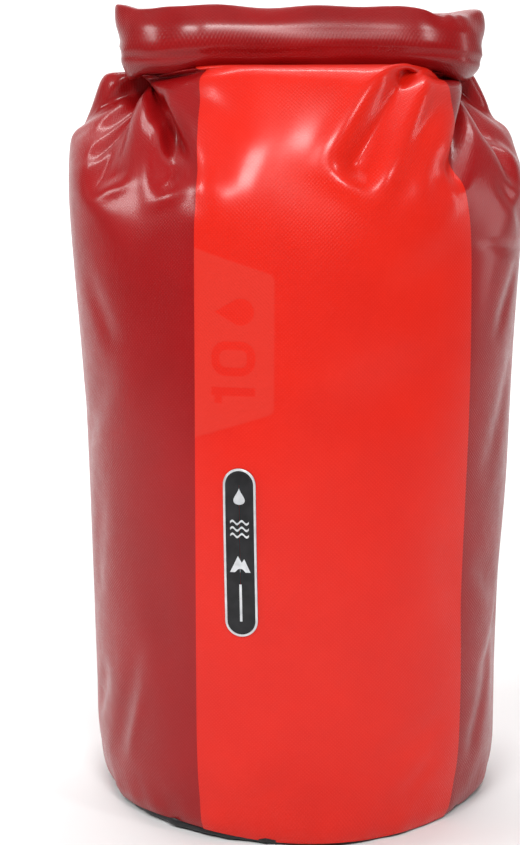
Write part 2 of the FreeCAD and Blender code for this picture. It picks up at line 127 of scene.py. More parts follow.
def simulate_tube(columns=132, rows=84, frames=56):
    """Closes a plain tube of coated fabric on to the roll's line and fills it, and gives its points as a grid."""
    s = round_tube(columns)
    around = s / TUBE_RADIUS
    height = np.linspace(0, 1, rows + 1)[:, None]

    # The two sides have less fabric below the roll than the front and the back have.
    places = [0, 60, 110, 154, 200, 240, 308]
    lengths = [410, 402, 379, 398, 384, 404, 430]
    cut = np.interp(np.abs(s), places, lengths)
    for _ in range(3):
        cut = (np.roll(cut, 1) + 2 * cut + np.roll(cut, -1)) / 4
    z = BASE_TOP + TUBE_LENGTH * height + (cut - TUBE_LENGTH)[None, :] * smooth(height, 0.62, 1.0)
    waves = [(0.8, 3, 0.7, 1), (0.5, 5, 2.1, 2), (0.4, 8, 4.0, 3)]
    uneven = sum(a * np.sin(k * around + p) * np.sin(math.pi * height * q) for a, k, p, q in waves)
    radius = TUBE_RADIUS + uneven
    start = np.stack([radius * np.sin(around), -radius * np.cos(around), z], -1)

    # The bottom row goes to the base weld and the top row to the roll, flattened front against back.
    closed = start.copy()
    closed[0] = np.stack(
        [BASE_RADIUS * np.sin(around), -BASE_RADIUS * np.cos(around), np.full(columns, BASE_TOP)], -1
    )

    # The front is gathered a little where it goes into the roll, and tucks in under it, more so on the right.
    front = np.abs(s) <= HALF_FLAT
    reach = np.where(s > 0, 143.0, ROLL_REACH)
    along = np.where(front, s, np.sign(s) * (2 * HALF_FLAT - np.abs(s))) * reach / HALF_FLAT
    along = np.where(front & (s > 0), np.interp(s, [0, 45, 80, HALF_FLAT], [0, 42, 60, 143]), along)
    along = np.where(front & (s < 0), -np.interp(-s, [0, 60, 100, HALF_FLAT], [0, 47, 84, ROLL_REACH]), along)
    tuck = 9 * (bump(s, 62, 11) + bump(s, 252, 11)) + 5 * (bump(s, -80, 11) + bump(s, -240, 11))
    apart = (np.where(front, 1.6, -1.6) - tuck) * np.clip(np.abs(HALF_FLAT - np.abs(s)) / 5, 0, 1)
    closed[-1, :, :2] = roll_line(along, apart)
    closed[-1, :, 2] = roll_underside(along) + 5

    mesh = bpy.data.meshes.new("tube_cut")
    mesh.from_pydata((start.reshape(-1, 3) * MM).tolist(), [], grid_faces(rows + 1, columns, wraps=True))
    tube = bpy.data.objects.new("tube_cut", mesh)
    scene.collection.objects.link(tube)
    tube.shape_key_add(name="open")
    key = tube.shape_key_add(name="closed")
    key.data.foreach_set("co", (closed.reshape(-1, 3) * MM).ravel())
    for value, at in ((0, 1), (1, frames // 2)):
        key.value = value
        key.keyframe_insert("value", frame=at)
    held = tube.vertex_groups.new(name="held")
    held.add(list(range(columns)) + list(range(rows * columns, (rows + 1) * columns)), 1.0, "REPLACE")

    cloth = tube.modifiers.new("cloth", "CLOTH")
    fabric = cloth.settings
    fabric.quality = 7
    fabric.mass = 0.0005
    fabric.tension_stiffness = fabric.compression_stiffness = 60
    fabric.shear_stiffness, fabric.bending_stiffness = 20, 0.012
    fabric.tension_damping = fabric.compression_damping = fabric.shear_damping = 0.2
    fabric.bending_damping, fabric.air_damping = 0.05, 1
    fabric.vertex_group_mass, fabric.pin_stiffness = "held", 1
    fabric.use_pressure, fabric.uniform_pressure_force = True, 1300
    fabric.effector_weights.gravity = 0
    cloth.collision_settings.use_collision = False
    scene.frame_start, scene.frame_end = 1, frames
    cloth.point_cache.frame_end = frames
    for at in range(1, frames + 1):
        scene.frame_set(at)
    done = tube.evaluated_get(bpy.context.evaluated_depsgraph_get()).to_mesh()
    points = np.zeros(len(done.vertices) * 3)
    done.vertices.foreach_get("co", points)
    action = tube.data.shape_keys.animation_data.action
    bpy.data.objects.remove(tube)
    bpy.data.meshes.remove(mesh)
    bpy.data.actions.remove(action)
    scene.frame_set(1)
    return points.reshape(rows + 1, columns, 3) / MM


def settle(grid):
    """The roll presses the fabric down beside it, so nothing stands above its underside."""
    grid = grid.copy()
    s = round_tube(grid.shape[1])
    run = np.where(np.abs(s) <= HALF_FLAT, np.abs(s), 2 * HALF_FLAT - np.abs(s)) * ROLL_REACH / HALF_FLAT
    x, z = np.abs(grid[..., 0]), grid[..., 2]
    grid[..., 2] = z - 8 * smooth(x, 74, 100) * smooth(z, 300, 346) * (1 - smooth(grid[..., 1], 44, 76))
    top = (roll_underside(run) + 2)[None]
    grid[..., 2] = top - 3 * np.log1p(np.exp((top - grid[..., 2]) / 3))
    return grid


def eased(grid):
    """Coated fabric is too stiff for the finest ripples of the simulation."""
    grid = (np.roll(grid, 1, 1) + 2 * grid + np.roll(grid, -1, 1)) / 4
    grid[1:-1] = (grid[:-2] + 2 * grid[1:-1] + grid[2:]) / 4
    return grid


GRID = settle(eased(simulate_tube()))


def catmull(points, at, wraps):
    """Smooth values between equally spaced points along the first axis."""
    count = len(points)
    at = np.asarray(at, float)
    if not wraps:
        at = np.clip(at, 0, count - 1 - 1e-6)
    first = np.floor(at).astype(int)
    f = (at - first).reshape((-1,) + (1,) * (points.ndim - 1))
    pick = (lambda k: points[(first + k) % count]) if wraps else (lambda k: points[np.clip(first + k, 0, count - 1)])
    a, b, c, d = pick(-1), pick(0), pick(1), pick(2)
    return 0.5 * (2 * b + (c - a) * f + (2 * a - 5 * b + 4 * c - d) * f**2 + (3 * b - a - 3 * c + d) * f**3)


def tube_surface(s, up):
    """The filled tube's points for every s (round it from the front) by every up (along it from the base)."""
    rows, columns = GRID.shape[0] - 1, GRID.shape[1]
    level = catmull(GRID, np.asarray(up) / TUBE_LENGTH * rows, False)
    return np.swapaxes(catmull(np.swapaxes(level, 0, 1), np.asarray(s) / TURN * columns, True), 0, 1)


def tube_points(s, up, out=0.0):
    """Points laid out millimetres above the finished tube, for paired s and up."""
    s, up = np.asarray(s, float).ravel(), np.asarray(up, float).ravel()
    places, heights = np.arange(s.min() - 3, s.max() + 4, 1.5), np.arange(up.min() - 3, up.max() + 4, 1.5)
    points = tube_surface(places, heights)
    points = handled(points, grid_normals(points), places, heights)
    both = np.concatenate([points, grid_normals(points)], -1)
    at_s, at_up = (s - places[0]) / 1.5, (up - heights[0]) / 1.5
    i, j = np.floor(at_s).astype(int), np.floor(at_up).astype(int)
    f, g = (at_s - i)[:, None], (at_up - j)[:, None]
    below = both[j, i] * (1 - f) + both[j, i + 1] * f
    above = both[j + 1, i] * (1 - f) + both[j + 1, i + 1] * f
    here = below * (1 - g) + above * g
    return here[:, :3] + here[:, 3:] * np.asarray(out).reshape(-1, 1)


# ---------------------------------------------------------------- mesh helpers


def make(name, points, faces, uv=None, material=None, body="bag", smooth_faces=True):
    """A mesh object from points in millimetres; uv holds one pair per point."""
    mesh = bpy.data.meshes.new(name)
    places = np.asarray(points, float).reshape(-1, 3) * MM
    mesh.from_pydata(places.tolist(), [], [tuple(map(int, face)) for face in faces])
    if uv is not None:
        layer = mesh.uv_layers.new(name="fabric")
        index = np.zeros(len(mesh.loops), int)
        mesh.loops.foreach_get("vertex_index", index)
        layer.data.foreach_set("uv", np.asarray(uv, float).reshape(-1, 2)[index].ravel())
    if smooth_faces:
        mesh.polygons.foreach_set("use_smooth", [True] * len(mesh.polygons))
    mesh.validate()
    thing = bpy.data.objects.new(name, mesh)
    scene.collection.objects.link(thing)
    if material is not None:
        mesh.materials.append(material)
    if body is not None:
        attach(thing, body)
    return thing


def grid_uv(s, up):
    """Where each point of a grid lies on the flat fabric."""
    s, up = np.meshgrid(s, up)
    return np.stack([s, up], -1).reshape(-1, 2) * UV_SCALE


def skin(name, points, normals, uv, material, thickness, rims=("first", "last", "low", "high"), flip=False, body=None):
    """A sheet of fabric with a real thickness: an outer grid, an inner one and rims where it ends.

    The shading comes from the given normals, so two sheets that meet edge to edge show no line between them."""
    rows, columns = points.shape[:2]
    count = rows * columns
    both = np.concatenate([points.reshape(-1, 3), (points - normals * thickness).reshape(-1, 3)])
    outer = grid_faces(rows, columns, flip=flip)
    inner = [tuple(v + count for v in face[::-1]) for face in outer]
    edges = {
        "first": [(i, i + 1) for i in range(columns - 1)],
        "last": [((rows - 1) * columns + i + 1, (rows - 1) * columns + i) for i in range(columns - 1)],
        "low": [((j + 1) * columns, j * columns) for j in range(rows - 1)],
        "high": [(j * columns + columns - 1, (j + 1) * columns + columns - 1) for j in range(rows - 1)],
    }
    rim = []
    for edge in rims:
        for a, b in edges[edge]:
            face = (b, a, a + count, b + count)
            rim.append(face[::-1] if flip else face)
    uv = np.concatenate([uv.reshape(-1, 2)] * 2)
    thing = make(name, both, outer + inner + rim, uv, material, body)
    per_vertex = np.concatenate([normals.reshape(-1, 3), -normals.reshape(-1, 3)])
    index = np.zeros(len(thing.data.loops), int)
    thing.data.loops.foreach_get("vertex_index", index)
    split = per_vertex[index]
    split[len(outer + inner) * 4 :] = 0
    thing.data.normals_split_custom_set([tuple(n) for n in split])
    return thing


# ---------------------------------------------------------------- materials


class Nodes:
    """A short way to write a node material."""

    def __init__(self, name, color, roughness, **sockets):
        self.material = bpy.data.materials.new(name)
        self.material.use_nodes = True
        self.tree = self.material.node_tree
        self.shader = self.tree.nodes["Principled BSDF"]
        self.shader.inputs["Base Color"].default_value = (*color, 1)
        self.shader.inputs["Roughness"].default_value = roughness
        for key, value in sockets.items():
            self.shader.inputs[key.replace("_", " ")].default_value = value

    def link(self, source, target):
        self.tree.links.new(source, target)

    def node(self, kind, values=(), **settings):
        made = self.tree.nodes.new(kind)
        for key, value in settings.items():
            setattr(made, key, value)
        for key, value in dict(values).items():
            if hasattr(value, "is_linked"):
                self.link(value, made.inputs[key])
            else:
                made.inputs[key].default_value = value
        return made

    def math(self, operation, a, b=0.0):
        return self.node("ShaderNodeMath", {0: a, 1: b}, operation=operation).outputs[0]

    def uv(self):
        """The fabric's own u and v, in millimetres."""
        source = self.node("ShaderNodeUVMap", uv_map="fabric").outputs[0]
        parts = self.node("ShaderNodeSeparateXYZ", {0: source})
        return tuple(self.math("MULTIPLY", parts.outputs[k], 1 / UV_SCALE) for k in (0, 1))

    def vector(self, x, y, z=0.0):
        return self.node("ShaderNodeCombineXYZ", {0: x, 1: y, 2: z}).outputs[0]

    def object_mm(self):
        source = self.node("ShaderNodeTexCoord").outputs["Object"]
        per_metre = (1000, 1000, 1000)
        return self.node("ShaderNodeVectorMath", {0: source, 1: per_metre}, operation="MULTIPLY").outputs[0]

    def noise(self, vector, scale, detail=2.0, roughness=0.5):
        values = {"Vector": vector, "Scale": scale, "Detail": detail, "Roughness": roughness}
        return self.node("ShaderNodeTexNoise", values).outputs["Fac"]

    def ramp(self, fac, low, high, out_low=0.0, out_high=1.0):
        values = {0: fac, 1: low, 2: high, 3: out_low, 4: out_high}
        return self.node("ShaderNodeMapRange", values, clamp=True).outputs[0]

    def mix(self, fac, a, b):
        made = self.node("ShaderNodeMix", data_type="RGBA")
        for index, value in ((0, fac), (6, a), (7, b)):
            if hasattr(value, "is_linked"):
                self.link(value, made.inputs[index])
            elif index:
                made.inputs[index].default_value = (*value, 1)
            else:
                made.inputs[index].default_value = value
        return made.outputs[2]

    def bump(self, *layers):
        """Each layer is a height and how many millimetres it stands for."""
        normal = None
        for height, distance in layers:
            values = {"Height": height, "Distance": distance * MM, "Strength": 1.0}
            made = self.node("ShaderNodeBump", values)
            if normal is not None:
                self.link(normal, made.inputs["Normal"])
            normal = made.outputs[0]
        self.link(normal, self.shader.inputs["Normal"])

    def color(self, source):
        self.link(source, self.shader.inputs["Base Color"])

    def roughness(self, source):
        self.link(source, self.shader.inputs["Roughness"])


def weave(m, u, v, pitch):
    """A plain weave's height from 0 to 1, one thread every pitch millimetres."""
    a = m.math("SINE", m.math("MULTIPLY", u, math.pi / pitch))
    b = m.math("SINE", m.math("MULTIPLY", v, math.pi / pitch))
    over = m.math("MULTIPLY", a, b)
    return m.math("ADD", m.math("MULTIPLY", over, 0.5), 0.5)


def coated_fabric(name, color, deep, pale, roughness=0.36, marks=None):
    """Fabric with a thick satin coating: the weave shows through as a fine grain, with soft uneven tone."""
    m = Nodes(name, color, roughness, Coat_Weight=0.42, Coat_Roughness=0.215, Specular_IOR_Level=0.10)
    u, v = m.uv()
    place = m.vector(u, v)
    grain = weave(m, u, v, 0.85)
    speck = m.noise(place, 0.9, 3, 0.6)
    cloud = m.noise(place, 0.022, 3, 0.55)
    handled = m.noise(place, 0.11, 4, 0.6)
    tone = m.mix(m.ramp(cloud, 0.3, 0.7), deep, color)
    tone = m.mix(m.math("MULTIPLY", m.ramp(grain, 0.55, 1.0), 0.16), tone, pale)
    tone = m.mix(m.math("MULTIPLY", m.ramp(speck, 0.62, 0.8), 0.10), tone, pale)
    rough = m.ramp(handled, 0.3, 0.75, roughness - 0.05, roughness + 0.09)
    rough = m.math("ADD", rough, m.math("MULTIPLY", m.ramp(speck, 0.4, 0.8), 0.06))
    layers = [(grain, 0.11), (speck, 0.16), (handled, 0.12), (cloud, 0.6)]
    if marks is not None:
        mask, mark_tone, added = marks(m, u, v)
        tone = m.mix(mask, tone, mark_tone)
        rough = m.math("ADD", rough, m.math("MULTIPLY", mask, added))
        layers.append((mask, 0.05))
    m.color(tone)
    m.roughness(rough)
    m.bump(*layers)
    return m.material


# Flat shapes in the fabric's own millimetres, as node masks that are 1 inside and 0 outside.


def inside(m, distance, soft=0.25):
    """1 where a signed distance is below zero."""
    return m.ramp(distance, -soft, soft, 1.0, 0.0)


def half_plane(m, u, v, at_u, at_v, angle):
    """Signed distance to a line through a point; angle is the outward direction, in degrees from +u."""
    a = math.radians(angle)
    du, dv = m.math("SUBTRACT", u, at_u), m.math("SUBTRACT", v, at_v)
    return m.math("ADD", m.math("MULTIPLY", du, math.cos(a)), m.math("MULTIPLY", dv, math.sin(a)))


def rounded_box(m, u, v, at_u, at_v, half_u, half_v, radius):
    """Signed distance to a box with rounded corners."""
    du = m.math("SUBTRACT", m.math("ABSOLUTE", m.math("SUBTRACT", u, at_u)), half_u - radius)
    dv = m.math("SUBTRACT", m.math("ABSOLUTE", m.math("SUBTRACT", v, at_v)), half_v - radius)
    pu, pv = m.math("MAXIMUM", du, 0.0), m.math("MAXIMUM", dv, 0.0)
    length = m.math("SQRT", m.math("ADD", m.math("MULTIPLY", pu, pu), m.math("MULTIPLY", pv, pv)))
    return m.math("SUBTRACT", m.math("ADD", length, m.math("MINIMUM", m.math("MAXIMUM", du, dv), 0.0)), radius)


def ring_of(m, distance, width):
    """Signed distance to a line of a given width along a shape's edge, just inside it."""
    return m.math("SUBTRACT", m.math("ABSOLUTE", m.math("ADD", distance, width / 2)), width / 2)


def drop(m, u, v, at_u, at_v, radius):
    """Signed distance to a water drop, lying with its point towards -u: a disc with a cone on it."""
    disc = rounded_box(m, u, v, at_u, at_v, radius, radius, radius)
    lean = 30
    reach = radius / math.sin(math.radians(lean))
    sides = [half_plane(m, u, v, at_u - reach, at_v, turn * (90 + lean)) for turn in (1, -1)]
    end = half_plane(m, u, v, at_u - radius * math.sin(math.radians(lean)), at_v, 0)
    cone = m.math("MAXIMUM", m.math("MAXIMUM", *sides), end)
    return m.math("MINIMUM", disc, cone)


def capacity_mark(m, u, v):
    """A tone-on-tone panel by the left seam with the figure 10 and a water drop, read with the bag on its side."""
    shape = half_plane(m, u, v, -23.2, 0, 0)
    for side in (half_plane(m, u, v, -27, 257, 72), half_plane(m, u, v, -26.6, 194.6, -72)):
        shape = m.node("ShaderNodeMath", {0: shape, 1: side, 2: 4.0}, operation="SMOOTH_MAX").outputs[0]
    middle, half = -41.5, 10.0
    one = rounded_box(m, u, v, middle, 205.0, half, 1.9, 0.3)
    flag = rounded_box(m, u, v, middle - half + 3.2, 202.4, 1.7, 2.6, 0.3)
    zero = ring_of(m, rounded_box(m, u, v, middle, 219.5, half, 7.6, 6.6), 3.8)
    drop_mark = drop(m, u, v, middle + 3.4, 240.0, 5.9)
    figures = m.math("MINIMUM", m.math("MINIMUM", one, flag), m.math("MINIMUM", zero, drop_mark))
    mask = m.math("MULTIPLY", inside(m, shape, 0.5), m.ramp(figures, -0.3, 0.3, 0.12, 1.0))
    return mask, (0.61, 0.025, 0.014), 0.08


# Each fabric's middle, deep and pale tones.
BRIGHT = coated_fabric(
    "fabric_bright", (0.655, 0.0135, 0.0045), (0.60, 0.010, 0.0035), (0.80, 0.06, 0.03), marks=capacity_mark
)
DARK = coated_fabric(
    "fabric_dark", (0.295, 0.003, 0.0045), (0.25, 0.0025, 0.0035), (0.48, 0.03, 0.03), roughness=0.34
)
ROLLED = coated_fabric(
    "fabric_roll", (0.27, 0.003, 0.004), (0.20, 0.002, 0.003), (0.44, 0.03, 0.03), roughness=0.33
)
BLACK = coated_fabric(
    "base_fabric", (0.018, 0.018, 0.020), (0.012, 0.012, 0.013), (0.07, 0.07, 0.075), roughness=0.5
)


def moulded_plastic(name, color):
    """Moulded acetal with a fine spark-eroded skin and slightly polished high spots."""
    m = Nodes(name, color, 0.46, Specular_IOR_Level=0.5)
    place = m.object_mm()
    spark, cloud = m.noise(place, 2.6, 3, 0.6), m.noise(place, 0.16, 3, 0.5)
    m.color(m.mix(m.ramp(cloud, 0.3, 0.7), tuple(c * 0.7 for c in color), tuple(c * 1.5 for c in color)))
    m.roughness(m.ramp(cloud, 0.3, 0.75, 0.40, 0.54))
    m.bump((spark, 0.05), (cloud, 0.05))
    return m.material


def woven_tape(name, color, pale):
    """Ribbed webbing: warp ribs along it and fine crossing threads."""
    m = Nodes(name, color, 0.78, Sheen_Weight=0.25, Sheen_Roughness=0.5)
    u, v = m.uv()
    ribs = m.math("ABSOLUTE", m.math("SINE", m.math("MULTIPLY", v, math.pi / 1.25)))
    phase = m.math("ADD", m.math("MULTIPLY", u, math.pi / 0.8), m.math("MULTIPLY", v, math.pi / 1.25))
    threads = m.math("ABSOLUTE", m.math("SINE", phase))
    height = m.math("ADD", m.math("MULTIPLY", ribs, 0.6), m.math("MULTIPLY", threads, 0.4))
    fuzz = m.noise(m.vector(u, v), 2.2, 4, 0.6)
    m.color(m.mix(m.ramp(m.math("MULTIPLY", height, fuzz), 0.1, 0.7), color, pale))
    m.roughness(m.ramp(fuzz, 0.3, 0.7, 0.7, 0.88))
    m.bump((height, 0.28), (fuzz, 0.1))
    return m.material


def plain_detail(name, color, pale, roughness, scale, depth, **sockets):
    """A small part's finish: mottled tone, uneven gloss and a fine grain."""
    m = Nodes(name, color, roughness, **sockets)
    place = m.object_mm()
    fine, cloud = m.noise(place, scale, 3, 0.6), m.noise(place, scale * 0.12, 2, 0.5)
    m.color(m.mix(m.ramp(cloud, 0.3, 0.7), color, pale))
    m.roughness(m.ramp(fine, 0.3, 0.7, roughness - 0.06, roughness + 0.08))
    m.bump((fine, depth))
    return m.material


WEBBING = woven_tape("webbing", (0.012, 0.012, 0.013), (0.055, 0.055, 0.06))
THREAD = plain_detail("thread", (0.02, 0.02, 0.022), (0.06, 0.06, 0.065), 0.6, 3.0, 0.08)
SOCKET = moulded_plastic("buckle_socket_plastic", (0.020, 0.020, 0.022))
PLUG = moulded_plastic("buckle_plug_plastic", (0.024, 0.024, 0.026))
STRIP = plain_detail("stiffener_plastic", (0.03, 0.03, 0.03), (0.05, 0.05, 0.05), 0.5, 1.5, 0.04)
LIP = plain_detail("lip_rubber", (0.02, 0.02, 0.02), (0.04, 0.04, 0.04), 0.6, 1.5, 0.05)
BADGE = plain_detail(
    "badge_rubber", (0.008, 0.008, 0.009), (0.02, 0.02, 0.022), 0.42, 1.2, 0.03, Specular_IOR_Level=0.25
)
SILVER = plain_detail("badge_silver", (0.55, 0.56, 0.58), (0.72, 0.73, 0.75), 0.34, 2.0, 0.02, Metallic=0.6)

# ---------------------------------------------------------------- tube panels

NECK = 345.0


def blend_to_end(thing, start, lean):
    """Bakes a thing's placement into its mesh; nothing here makes it go over to the roll's end.

    Start and lean are not used."""
    start, lean = np.array(start), np.array(lean)
    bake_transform(thing)


def segment(s, up, from_s, from_up, to_s, to_up, width, depth):
    """A crease along a short line on the fabric: deepest in its middle, fading to its ends and sides."""
    ds, du = to_s - from_s, to_up - from_up
    along = ((s - from_s) * ds + (up - from_up) * du) / (ds * ds + du * du)
    across = ((s - from_s) * du - (up - from_up) * ds) / math.hypot(ds, du)
    return depth * np.exp(-((across / width) ** 2)) * smooth(along, -0.25, 0.35) * (1 - smooth(along, 0.65, 1.25))


# Soft dents and creases of handling, (from s, up, to s, up, width, depth inwards).
CREASES = [
    (-118, 20, -96, 78, 7, 1.6), (-104, 26, -92, 60, 4, -0.9), (-150, 36, -128, 62, 8, 2.0),
    (-140, 90, -126, 150, 10, 1.3), (-150, 170, -112, 205, 9, 1.2), (-92, 200, -70, 285, 10, 1.0),
    (-128, 250, -108, 222, 7, 1.1), (-84, 120, -70, 60, 12, 0.8), (84, 26, 104, 64, 6, 1.8),
    (92, 60, 128, 92, 6, 1.4), (86, 118, 112, 96, 7, 1.2), (90, 160, 120, 210, 8, 1.3),
    (82, 268, 128, 262, 2.6, 0.9), (96, 226, 118, 254, 6, 1.4), (100, 300, 126, 276, 6, 1.6),
    (134, 140, 118, 60, 9, 1.6), (20, 30, 66, 52, 8, 0.9), (40, 16, 58, 34, 5, 0.8),
    (-36, 14, -14, 30, 6, 0.8), (-20, 78, 30, 66, 14, 0.7), (0, 196, 52, 214, 16, 0.6),
    (-28, 300, 12, 282, 12, 0.7), (24, 244, 60, 262, 12, 0.7), (56, 140, 70, 90, 9, 0.7),
    (170, 40, 190, 110, 9, 1.8), (210, 150, 186, 230, 10, 1.6), (240, 60, 280, 84, 9, 1.3),
    (262, 190, 296, 172, 9, 1.2), (-170, 52, -196, 120, 9, 1.8), (-214, 210, -184, 150, 10, 1.6),
    (-246, 74, -284, 60, 9, 1.3), (-260, 236, -292, 214, 9, 1.2),
]


def pocket(s, up, from_s, from_up, to_s, to_up, width, depth):
    """A pleat that runs down from the roll as a trough and stops short in a pinched pocket with a raised lip."""
    ds, du = to_s - from_s, to_up - from_up
    length = math.hypot(ds, du)
    along = ((s - from_s) * ds + (up - from_up) * du) / length
    across = ((s - from_s) * du - (up - from_up) * ds) / length
    wide = width * (0.75 + 0.45 * smooth(along / length, 0, 0.9))
    trough = np.exp(-((across / wide) ** 2)) * smooth(along, -8, 14) * (1 - smooth(along, length - 8, length + 2))
    ridge = np.exp(-(((np.abs(across) - 1.75 * wide) / (0.8 * wide)) ** 2))
    ridge = ridge * smooth(along, 0, 20) * (1 - smooth(along, length - 10, length + 14))
    lip = np.exp(-(((along - length - 4.0) / 3.6) ** 2 + (across / (1.3 * wide)) ** 2))
    return depth * (trough - 0.28 * ridge - 0.34 * lip)


# Pleats that start under the roll, (from s, up, to s, up, width, depth inwards).
POCKETS = [(58, 374, 10, 295, 6.2, 5.2), (-92, 362, -77, 294, 5.0, 3.0), (-132, 372, -110, 300, 6.5, 2.6)]


def handled(points, normal, s, up):
    """Lays the creases, a slow unevenness and the puckers above the base weld over the filled tube."""
    across, along = np.meshgrid(s, up)
    depth = sum(segment(across, along, *line) for line in CREASES)
    slow = 0.5 * np.sin(across / 23 + along / 61 + 0.7) * np.sin(along / 37 + 0.4)
    slow = slow + 0.35 * np.sin(across / 13 - along / 29)
    calm = smooth(along, 4, 60) * (1 - smooth(along, 280, 350))
    pleats = sum(pocket(across, along, *line) for line in POCKETS) * (1 - smooth(along, 352, 386))
    points = points - normal * (depth * (1 - smooth(along, 300, 370)) + slow * calm + pleats)[..., None]
    low = 1 - smooth(along, 0, 18)
    ripple = 0.55 * np.sin(across / 5.2) + 0.6 * np.sin(across / 8.7 + 1.3) + 0.3 * np.sin(across / 2.9 + 0.4)
    facets = 0.8 * np.sin(across / 17 + 0.5) + 0.5 * np.sin(across / 11)
    round_it = np.stack([np.sin(s / TUBE_RADIUS), -np.cos(s / TUBE_RADIUS)], -1)
    lift = 3.4 * bump(across, -72, 44) - 1.9
    edge = (1 - smooth(along, 0, 5)) * -0.9
    wide = low * (ripple + 0.9) + edge + facets * (1 - smooth(along, 0, 34))
    points[..., :2] += wide[..., None] * round_it[None]
    points[..., 2] += low * (0.45 * ripple + lift - 2.6 + 0.4 * facets)
    # The buckle rests on the shoulder behind the neck and presses a shallow hollow into it.
    x, y, z = points[..., 0], points[..., 1], points[..., 2]
    points[..., 2] = z - 3.2 * smooth(z, 330, 344) * smooth(y, 22, 36) * (1 - smooth(np.abs(x), 34, 52))
    return points


def grid_normals(points):
    """Unit normals of a grid of points, rows by columns, facing the same way as its quads."""
    normal = np.cross(np.gradient(points, axis=1), np.gradient(points, axis=0))
    return normal / (np.linalg.norm(normal, axis=-1)[..., None] + 1e-12)


def panel(name, low, high, out, material, step=2.2):
    """A strip of the tube between two seams; out gives how far it stands proud, for each place round the tube."""
    s = np.linspace(low, high, int((high - low) / step) + 2)
    s = np.concatenate([[2 * s[0] - s[1]], s, [2 * s[-1] - s[-2]]])
    up = np.linspace(0, TUBE_LENGTH, int(TUBE_LENGTH / step) + 2)
    points = tube_surface(s, up)
    points = handled(points, grid_normals(points), s, up)
    normal = grid_normals(points)
    points = points + normal * out(s)[None, :, None]
    keep = slice(1, -1)
    return skin(name, points[:, keep], normal[:, keep], grid_uv(s[keep], up), material, FABRIC)


LAP = 9.0  # how far one panel goes under the next, and over it at the back


def back_lap(s):
    """The right panel rises over the left one where they meet at the back."""
    return 0.6 * smooth(s, TURN / 2 - LAP - 5, TURN / 2 - LAP)


front = panel("front_panel_fabric", SEAM_LEFT, SEAM_RIGHT, lambda s: 0 * s + PROUD, BRIGHT)
left = panel("body_panel_fabric_left", -TURN / 2 - LAP, SEAM_LEFT + LAP, lambda s: 0 * s, DARK)
right = panel("body_panel_fabric_right", SEAM_RIGHT - LAP, TURN / 2, back_lap, DARK)
for thing, side, node, slot in (
    (front, 1, "front_panel", "fabric_bright"),
    (left, -1, "body_panel", "fabric_dark"),
    (right, 1, "body_panel", "fabric_dark"),
):
    blend_to_end(thing, [side * 10.0, 0.0, NECK], [side / 30.0, 0.0, 0.061])
    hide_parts(node)

# ---------------------------------------------------------------- base


def base():
    """The black base: a flat disc with a soft rim that shows as a thin line under the tube's hem."""
    rows = [(0, 1.2), (40, 0.7), (72, 0.3), (82, 0.0), (86.5, 0.2), (89.4, 0.7), (91.0, 1.6), (91.5, 2.8)]
    rows += [(90.9, 4.6), (89.6, 5.6), (88.6, 5.0), (86, 3.0), (60, 2.4), (0, 2.6)]
    upper_face, count = 9, 220
    angle = np.arange(count) / count * 2 * math.pi
    pucker = np.sin(angle * 37) * 0.35 + np.sin(angle * 23 + 1.0) * 0.45 + np.sin(angle * 61 + 0.6) * 0.18
    points, uv = [], []
    for k, (radius, z) in enumerate(rows):
        share = smooth(radius, 80, 92)
        r = radius + pucker * share
        height = np.maximum(z + 0.2 * pucker * share, 0)
        points.append(np.stack([r * np.sin(angle), -r * np.cos(angle), height], -1))
        apart = 300 if k >= upper_face else 0
        uv.append(np.stack([radius * np.sin(angle), -radius * np.cos(angle) + apart], -1) * UV_SCALE)
    thing = make("base_fabric_panel", np.array(points), grid_faces(len(rows), count, wraps=True, flip=True),
                 np.array(uv), BLACK)
    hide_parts("base_panel")


base()

# ---------------------------------------------------------------- rolled mouth


